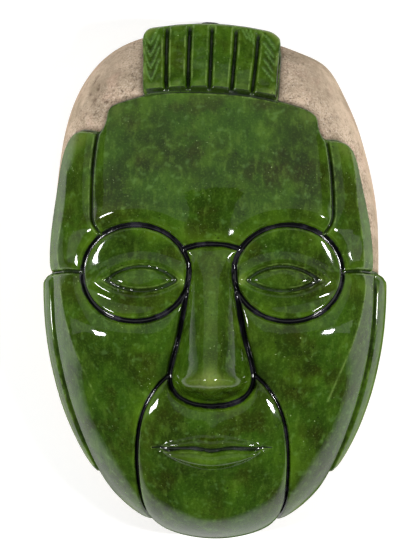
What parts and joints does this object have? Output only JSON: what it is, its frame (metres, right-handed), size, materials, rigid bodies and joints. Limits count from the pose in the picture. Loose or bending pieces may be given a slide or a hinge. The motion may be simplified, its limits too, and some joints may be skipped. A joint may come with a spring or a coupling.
{
  "type": "ceramic mask",
  "caption": "Hollow ceramic face mask, open behind, with raised glazed plates parted by carved grooves, round eye rims and a ribbed block of hair.",
  "frame": {"origin": "in the plane of the back rim, at the middle of the mask's length and width", "axes": "+Z out of the face, +Y from the chin to the crown, +X to the viewer's right"},
  "size_m": [0.1721, 0.2592, 0.0849],
  "materials": {
    "glazed_clay": "glossy"
  },
  "bodies": {
    "root": {"mask": "glazed_clay"}
  },
  "joints": []
}
